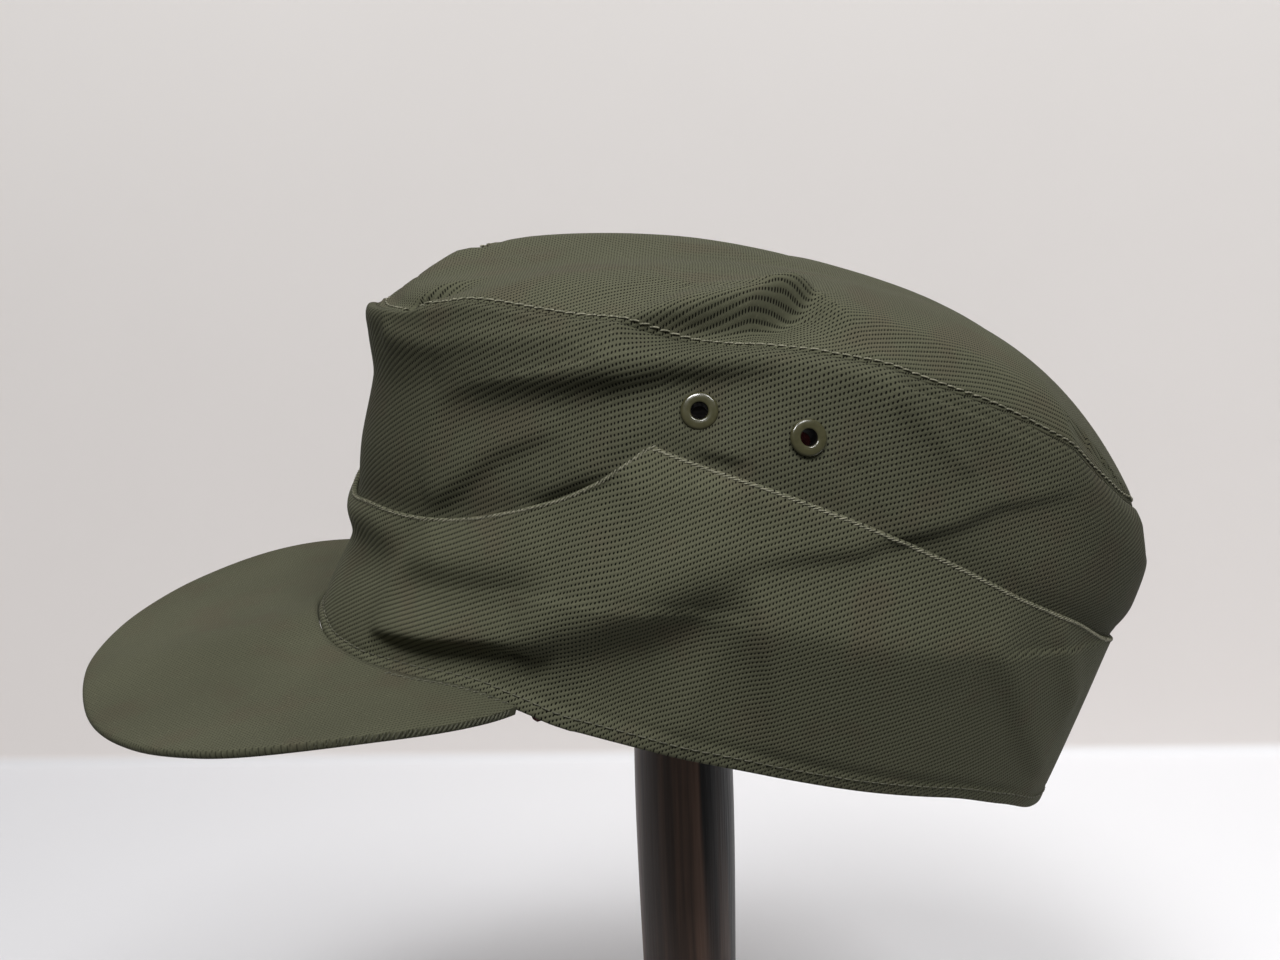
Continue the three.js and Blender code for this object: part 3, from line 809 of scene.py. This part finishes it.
# Lining
# A loose bag of thin dark red plain cotton inside the cap, caught in the hem. A tip of it peeps out
# below the hem beside the peak's corner.
red = Finish("dark red cotton", {"Roughness": 0.85, "Specular IOR Level": 0.2, "Sheen Weight": 0.2})
flat = red.node("ShaderNodeUVMap", {"uv_map": "cloth"}, {}, "UV")
warp = (red.node("ShaderNodeSeparateXYZ", {}, {"Vector": flat}, "X") * 1600).wave()
weft = (red.node("ShaderNodeSeparateXYZ", {}, {"Vector": flat}, "Y") * 1600).wave()
slub = red.noise(flat, 500, 3)
dyed = red.mix(slub, (0.10, 0.014, 0.016), (0.17, 0.028, 0.030))
# Painted shade darkens the weave between its crossing threads
red.feed("Base Color", red.shade(dyed, 0.6 + 0.4 * warp * weft))
red.bump(warp * weft + slub, 0.0001)

LINING = 1.0
LINING_GAP = 0.9
LINING_SLACK = 1.2
LINING_HOLE_RADIUS = 4.4
PEEP_ANGLE = 57.5
PEEP_WIDTH = 2.2
PEEP_ROWS = 0.06
PEEP = 6.0
FIRST_ROW = 0.03
lining_rows = np.concatenate([np.linspace(FIRST_ROW, 2, 56), np.linspace(2.03, 3, 40)])


def lining_depth(row):
    """How deep the lining lies: behind both layers low down, and slacker under the top panel."""
    behind = (CLOTH + EDGE_STEP) * np.clip((1.3 - row) / 0.27, 0, 1)
    return behind + CLOTH + LINING_GAP + LINING_SLACK * np.clip((row - 2) / 0.1, 0, 1)


def lining_grid(depth_extra):
    """One face of the bag, with the tip that peeps out."""
    grid_angles = angles[:COLUMNS, None]
    wall = lining_rows[lining_rows <= 2]
    crown = lining_rows[lining_rows > 2]
    near_angle = np.exp(-((grid_angles - PEEP_ANGLE) / PEEP_WIDTH) ** 2)
    drop = PEEP * near_angle * np.exp(-((wall - FIRST_ROW) / PEEP_ROWS) ** 2)
    parts = [
        cloth_point(grid_angles, wall, lining_depth(wall) + depth_extra, drop),
        cloth_point(grid_angles, crown, lining_depth(crown) + depth_extra, 0, True),
    ]
    return np.concatenate(parts, axis=1)


lining_points = np.concatenate([lining_grid(0), lining_grid(LINING)[:, ::-1]], axis=1)
lining_uv = woven_wall_uv(np.minimum(np.concatenate([lining_rows, lining_rows[::-1]]), 2))
lining_mesh = grid_mesh("red_lining", in_place(lining_points), True, True, lining_uv)
lining = new_object("red_lining", lining_mesh)
lining.data.materials.append(red.material)
cut_eyelet_holes(lining, LINING_HOLE_RADIUS)
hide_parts("lining")
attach(lining, "root")


# Top panel
# An oval of the same twill, eased to a low dome. Its edge is turned under and stitched down on the
# side panel close to the fold.
CROWN_WEAVE = math.radians(18)
FOLD_SHARE = 0.5


def crown_uv(rows):
    """Places on the flat cloth: lengths from the middle, measured over part of the folds' height."""
    fine_rows = np.linspace(2, 3, 101)
    line = smooth_surface(angles[:, None], fine_rows[None, :])
    line = line + FOLD_SHARE * (cloth_point(angles[:, None], fine_rows[None, :], 0, 0, True) - line)
    steps = np.linalg.norm(np.diff(line, axis=1), axis=2)
    total = np.concatenate([np.cumsum(steps[:, ::-1], axis=1)[:, ::-1], np.zeros((COLUMNS + 1, 1))], axis=1)
    reach = np.stack([np.interp(rows, fine_rows, total[k]) for k in range(COLUMNS + 1)])
    seam = smooth_surface(angles[:, None], 2.0 + 0 * rows[None, :])
    heading = unit(seam[..., :2] - (CROWN_MIDDLE, 0))
    return slanted(heading[..., 0] * reach, heading[..., 1] * reach, CROWN_WEAVE)


crown_rows = np.concatenate([np.linspace(2, 2.06, 8), np.linspace(2.08, 2.98, 40), [3.0]])
crown_section = folded_section(crown_rows, CLOTH)
rows, depths, drops = crown_section.T
crown_angles = angles[:COLUMNS, None]
crown_depth = depths[None, :] + seam_groove(rows)[None, :] + 0 * crown_angles
crown_points = cloth_point(crown_angles, rows[None, :], crown_depth, drops[None, :], True)
crown_mesh = grid_mesh("twill_top_panel", in_place(crown_points), True, True, crown_uv(rows))
crown = new_object("twill_top_panel", crown_mesh)
# The top panel's tone is part of the painted light and shade between the pieces
crown.data.materials.append(twill("ribbed twill of the top panel", 0.74))
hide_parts("crown_top")
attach(crown, "root")


def sewing_thread(name, dark, light):
    """Twisted cotton, with painted light on its plies where they stand up."""
    thread = Finish(name, {"Specular IOR Level": 0.3, "Roughness": 0.7})
    place = thread.node("ShaderNodeTexCoord", {}, {}, "Object")
    plies = thread.noise(place, 1900, 2)
    # Painted light: the raised plies are lighter
    thread.feed("Base Color", thread.mix(thread.between(plies, 0.35, 0.65), dark, light))
    thread.bump(plies, 0.0001)
    return thread.material


def stitch_tree():
    """Short bent threads along a line, each lying on the cloth at a slant to the line."""
    tree = bpy.data.node_groups.new("row of stitches", "GeometryNodeTree")
    tree.interface.new_socket("Line", in_out="INPUT", socket_type="NodeSocketGeometry")
    numbers = ("Spacing", "Length", "Thickness", "Slant", "Waver")
    for name in numbers:
        tree.interface.new_socket(name, in_out="INPUT", socket_type="NodeSocketFloat")
    tree.interface.new_socket("Thread", in_out="INPUT", socket_type="NodeSocketMaterial")
    tree.interface.new_socket("Stitches", in_out="OUTPUT", socket_type="NodeSocketGeometry")
    work = NodeWork(tree)
    given = {name: work.node("NodeGroupInput", {}, {}, name) for name in ("Line", *numbers, "Thread")}
    half = given["Length"] * 0.5
    start = work.node("ShaderNodeCombineXYZ", {}, {"X": half * -1.0})
    bend = work.node("ShaderNodeCombineXYZ", {}, {"Z": given["Thickness"] * 0.9})
    end = work.node("ShaderNodeCombineXYZ", {}, {"X": half})
    ends = {"Resolution": 4, "Start": start, "Middle": bend, "End": end}
    bow = work.node("GeometryNodeCurveQuadraticBezier", {}, ends)
    size = {"Resolution": 6, "Radius": given["Thickness"] * 0.5}
    ring = work.node("GeometryNodeCurvePrimitiveCircle", {}, size)
    swept = {"Curve": bow, "Profile Curve": ring, "Fill Caps": True}
    stitch = work.node("GeometryNodeCurveToMesh", {}, swept)
    line = work.node("GeometryNodeMeshToCurve", {}, {"Mesh": given["Line"]})
    pitch = {"Curve": line, "Length": given["Spacing"]}
    spaced = work.node("GeometryNodeResampleCurve", {"mode": "LENGTH"}, pitch)
    tangent = work.node("GeometryNodeInputTangent", {}, {})
    settings = {"data_type": "FLOAT_VECTOR"}
    facing_out = work.node("GeometryNodeInputNamedAttribute", settings, {"Name": "facing"})
    settings = {"axis": "Z", "pivot_axis": "AUTO"}
    stood = work.node("FunctionNodeAlignRotationToVector", settings, {"Vector": facing_out})
    settings = {"axis": "X", "pivot_axis": "Z"}
    laid = work.node("FunctionNodeAlignRotationToVector", settings, {"Rotation": stood, "Vector": tangent})
    spread = {"Min": given["Waver"] * -1.0, "Max": given["Waver"], "Seed": 7}
    chance = work.node("FunctionNodeRandomValue", {"data_type": "FLOAT"}, spread)
    skew = work.node("ShaderNodeCombineXYZ", {}, {"Z": given["Slant"] + chance})
    swing = work.node("FunctionNodeEulerToRotation", {}, {"Euler": skew})
    turning = {"Rotation": laid, "Rotate By": swing}
    turned = work.node("FunctionNodeRotateRotation", {"rotation_space": "LOCAL"}, turning)
    laid_out = {"Points": spaced, "Instance": stitch, "Rotation": turned}
    sewn = work.node("GeometryNodeInstanceOnPoints", {}, laid_out)
    plain = work.node("GeometryNodeRealizeInstances", {}, {"Geometry": sewn})
    dressed = work.node("GeometryNodeSetMaterial", {}, {"Geometry": plain, "Material": given["Thread"]})
    result = tree.nodes.new("NodeGroupOutput")
    tree.links.new(dressed.socket, result.inputs["Stitches"])
    return tree


stitches = stitch_tree()
RowOfStitches = namedtuple("RowOfStitches", "spacing length thickness slant waver")


def sew(name, points, facings, kind, thread):
    """A row of stitches through the points, which are in the cap's own millimetres."""
    count = len(points)
    mesh = bpy.data.meshes.new(name)
    mesh.from_pydata(in_place(points), [(k, k + 1) for k in range(count - 1)], [])
    out = (facings @ cap_turn.T).astype(np.float32)
    mesh.attributes.new("facing", "FLOAT_VECTOR", "POINT").data.foreach_set("vector", out.ravel())
    row = new_object(name, mesh)
    sewing = row.modifiers.new("stitches", "NODES")
    sewing.node_group = stitches
    given = {"Spacing": kind.spacing * MM, "Length": kind.length * MM, "Thickness": kind.thickness * MM,
             "Slant": math.radians(kind.slant), "Waver": math.radians(kind.waver), "Thread": thread}
    for socket in stitches.interface.items_tree:
        if socket.name in given:
            sewing[socket.identifier] = given[socket.name]
    bpy.context.view_layer.update()
    sewn = bpy.data.meshes.new_from_object(row.evaluated_get(bpy.context.evaluated_depsgraph_get()))
    row.modifiers.clear()
    row.data = sewn
    sewn.shade_smooth()
    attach(row, "root")


olive_thread = sewing_thread("olive cotton thread", (0.10, 0.10, 0.066), (0.27, 0.26, 0.19))
fine_angles = np.linspace(-179.9, 179.9, 1441)
seam_row = 2.016 + 0 * fine_angles
seam_line = cloth_point(fine_angles, seam_row, seam_groove(seam_row) - 0.05, 0, True)
seam_stitch = RowOfStitches(2.6, 2.2, 0.5, 8, 5)
sew("top_seam_stitches", seam_line, outward(fine_angles, seam_row, True), seam_stitch, olive_thread)


# Turn-up
# A deep band of twill, folded up over the wall and rising to a point at each side. Its top edge and
# its hem are both folded, and the hem holds the lining.
HEM_ROUND = 0.8
EDGE_ROUND = 0.6
HEM_STITCH_LINE = 2.6
band_rows = np.concatenate([np.linspace(0, 0.08, 7), np.linspace(0.1, 0.97, 46), np.linspace(0.98, 1, 3)])
band_section = folded_section(band_rows, CLOTH, HEM_ROUND, EDGE_ROUND)


def hem_roll(angle, row):
    """The hem is a little thicker than the cloth above its stitches."""
    up = row * MM_PER_ROW
    return -0.35 * np.exp(-((up / HEM_STITCH_LINE) ** 4)) + 0.25 * np.exp(-(((up - 3.2) / 0.8) ** 2))


band = wall_piece("twill_turn_up", band_section, hem_roll)
# The turn-up's high tone is painted light
band.data.materials.append(twill("ribbed twill of the turn-up", 0.94))
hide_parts("turn_up_band")
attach(band, "root")

# Its edge is bound with a thin cord of thread, and the hem is held by one row of stitches
edge_row = 0.998 + 0 * fine_angles
edge_out = outward(fine_angles, edge_row, False)
edge_line = cloth_point(fine_angles, edge_row, 0.1)
sew("turn_up_edge_cord", edge_line, edge_out, RowOfStitches(1.35, 1.9, 0.42, 22, 8), olive_thread)
hem_row = HEM_STITCH_LINE / (edge_height(np.abs(fine_angles)) - hem_height(np.abs(fine_angles)))
hem_line = cloth_point(fine_angles, hem_row, hem_roll(fine_angles, hem_row) - 0.02)
hem_thread = sewing_thread("dark olive thread", (0.05, 0.05, 0.034), (0.13, 0.128, 0.09))
hem_out = outward(fine_angles, hem_row, False)
sew("hem_stitches", hem_line, hem_out, RowOfStitches(2.7, 1.9, 0.4, 4, 4), hem_thread)


# Peak
# A stiff board between two layers of twill, sewn into the front of the hem. The cloth is rolled
# tightly round its rim.
PEAK_CORNER = 55.0
PEAK_REACH = 63.5
PEAK_SLOPE = 29.0
PEAK_FLATTER = 19.0
PEAK_FLATTER_RIGHT = 14.0
PEAK_TURN = 0.75
PEAK_ROUND = 3.3
PEAK_TAPER = 0.6
PEAK_TAPER_RIGHT = 0.55
PEAK_THICKNESS = 2.4
ROOT_LIFT = 0.6
ROOT_CLEAR = 1.0
ROOT_EASE = 7.0
RIM_SHARE = 0.02


def peak_face(share, out):
    """The peak's top face: share runs from corner to corner, and out from the seam to the rim."""
    share, out = np.broadcast_arrays(np.asarray(share, float), np.asarray(out, float))
    angle = share * PEAK_CORNER
    heading = np.radians(PEAK_TURN * angle)
    slope = np.radians(PEAK_SLOPE - np.where(share < 0, PEAK_FLATTER_RIGHT, PEAK_FLATTER) * share ** 2)
    taper = np.where(share < 0, PEAK_TAPER_RIGHT, PEAK_TAPER)
    reach = PEAK_REACH * np.clip(1 - np.abs(share) ** PEAK_ROUND, 0, None) ** taper
    away = np.stack([-np.cos(heading), -np.sin(heading), 0 * heading], axis=-1)
    even_root = smooth_surface(angle, 0 * angle)
    close = np.exp(-((reach * out / ROOT_EASE) ** 2))[..., None]
    root = even_root + (cloth_point(angle, 0 * angle) - even_root) * close + away * ROOT_CLEAR
    root[..., 2] += ROOT_LIFT
    down = np.stack([0 * slope, 0 * slope, -np.sin(slope)], axis=-1)
    return root + (away * np.cos(slope)[..., None] + down) * (reach * out)[..., None]


def peak_normal(share, out):
    """The way out of the peak's top face."""
    inside = np.clip(share, -0.98, 0.98)
    across = peak_face(inside + 0.01, out) - peak_face(inside - 0.01, out)
    outer = peak_face(inside, out + 0.01) - peak_face(inside, out - 0.01)
    return unit(np.cross(outer, across))


SPANS = 260
shares = np.sin(math.pi * (np.arange(SPANS + 1) / SPANS - 0.5))[:, None]
outs = np.concatenate([np.linspace(0, 0.9, 30), np.linspace(0.92, 0.97, 5)])
half = PEAK_THICKNESS / 2
turns = np.radians(np.linspace(75, -75, 9))
rim_outs = [1 - RIM_SHARE + RIM_SHARE * math.cos(a) for a in turns]
peak_outs = np.concatenate([outs, rim_outs, outs[::-1]])[None, :]
rim_depth = [half - half * math.sin(a) for a in turns]
peak_depths = np.concatenate([0 * outs, rim_depth, 0 * outs + PEAK_THICKNESS])[None, :]
face = peak_face(shares, peak_outs)
face_normal = peak_normal(shares, np.clip(peak_outs, 0.01, 0.97))
peak_points = face - face_normal * peak_depths[..., None]
PEAK_WEAVE = math.radians(20)
peak_uv = slanted(face[..., 0], face[..., 1], PEAK_WEAVE)
peak_mesh = grid_mesh("twill_peak", in_place(peak_points), False, True, peak_uv)
peak = new_object("twill_peak", peak_mesh)
# The peak's tone is part of the painted light and shade between the pieces
stretched_twill = twill("tightly stretched twill", 0.66, 0.85 * RIB, 0.45, 0.6 * RIB_DEPTH)
peak.data.materials.append(stretched_twill)
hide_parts("peak")
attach(peak, "root")

# The twill's ribs stand up like the turns of a rope where they go over the rim
rim_shares = np.sin(math.pi * (np.linspace(0.02, 0.98, 900) - 0.5))
rim_face = peak_face(rim_shares, 0.985)
rim_up = peak_normal(rim_shares, 0.97)
rim_line = rim_face - rim_up * half
rim_out = unit(np.cross(np.gradient(rim_line, axis=0), rim_up))
rim_out *= np.sign(np.sum(rim_out * (rim_line - peak_face(rim_shares, 0.5)), axis=1, keepdims=True))
rim_ribs = RowOfStitches(1.3, 2.3, 0.6, 55, 3)
rolled_twill = sewing_thread("rolled twill", (0.05, 0.05, 0.033), (0.085, 0.086, 0.056))
sew("rim_ribs", rim_line - rim_out * 0.1, rim_out, rim_ribs, rolled_twill)
for side_name, side in (("left", 1), ("right", -1)):
    corner = np.linspace(0.6, 0.97, 120) * side
    root_line = peak_face(corner, 0.035)
    root_up = peak_normal(corner, 0.05)
    root_stitch = RowOfStitches(1.9, 1.5, 0.4, 35, 12)
    sew(f"{side_name}_corner_stitches", root_line, root_up, root_stitch, hem_thread)


# Eyelets
# Four pressed metal rings with a rolled flange, painted olive, two in each side of the wall. They
# are clinched through the panel and let air in.
paint = Finish("olive enamel", {"Metallic": 0.0, "Coat Weight": 0.6, "Coat Roughness": 0.06})
place = paint.node("ShaderNodeTexCoord", {}, {}, "Object")
ageing = paint.noise(place, 700, 3)
paint.feed("Base Color", paint.mix(ageing, (0.034, 0.033, 0.013), (0.062, 0.058, 0.026)))
paint.feed("Roughness", 0.16 + 0.12 * ageing)
paint.bump(ageing, 0.00003)

# The eyelets' bores are painted near black: painted shade inside the holes, with a faint random speckle
barrel_shade = Finish("bare blackened metal", {"Metallic": 0.0, "Specular IOR Level": 0.1, "Roughness": 0.8})
place = barrel_shade.node("ShaderNodeTexCoord", {}, {}, "Object")
shade_speckle = barrel_shade.noise(place, 900)
barrel_shade.feed("Base Color", barrel_shade.mix(shade_speckle, (0.003, 0.003, 0.003), (0.008, 0.006, 0.005)))

flange = arc((3.8, 0.05), 0.75, -60, 80, 12)
dish = [(3.5, 0.83), (3.1, 0.86), (2.75, 0.84)]
lip = arc((2.6, 0.24), 0.6, 80, 180, 9)
barrel = [(2.0, 0.0), (2.0, -4.9), (2.15, -5.2), (2.9, -5.2), (2.9, -0.2), (4.0, -0.4)]
ring = [*flange, *dish, *lip, *barrel]
EYELET_SEAT = 0.45
# Faces nearer the axis than this take the bore's painted shade
SHADED_BORE_RADIUS = 2.1
for side_name, side in (("left", 1), ("right", -1)):
    for eyelet in EYELETS:
        name = f"{side_name}_{eyelet.name}_ring"
        ring_points = turned_points(ring, 64) + (0, 0, EYELET_SEAT)
        ring_mesh = grid_mesh(name, ring_points, True, True)
        for polygon in ring_mesh.polygons:
            polygon.material_index = int(math.hypot(*polygon.center[:2]) < SHADED_BORE_RADIUS)
        ring_mesh.transform(eyelet_axes(eyelet.angle * side, eyelet.row))
        piece = new_object(name, ring_mesh)
        piece.data.materials.append(paint.material)
        piece.data.materials.append(barrel_shade.material)
        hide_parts(f"eyelet_{side_name}_{eyelet.name}")
        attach(piece, "root")
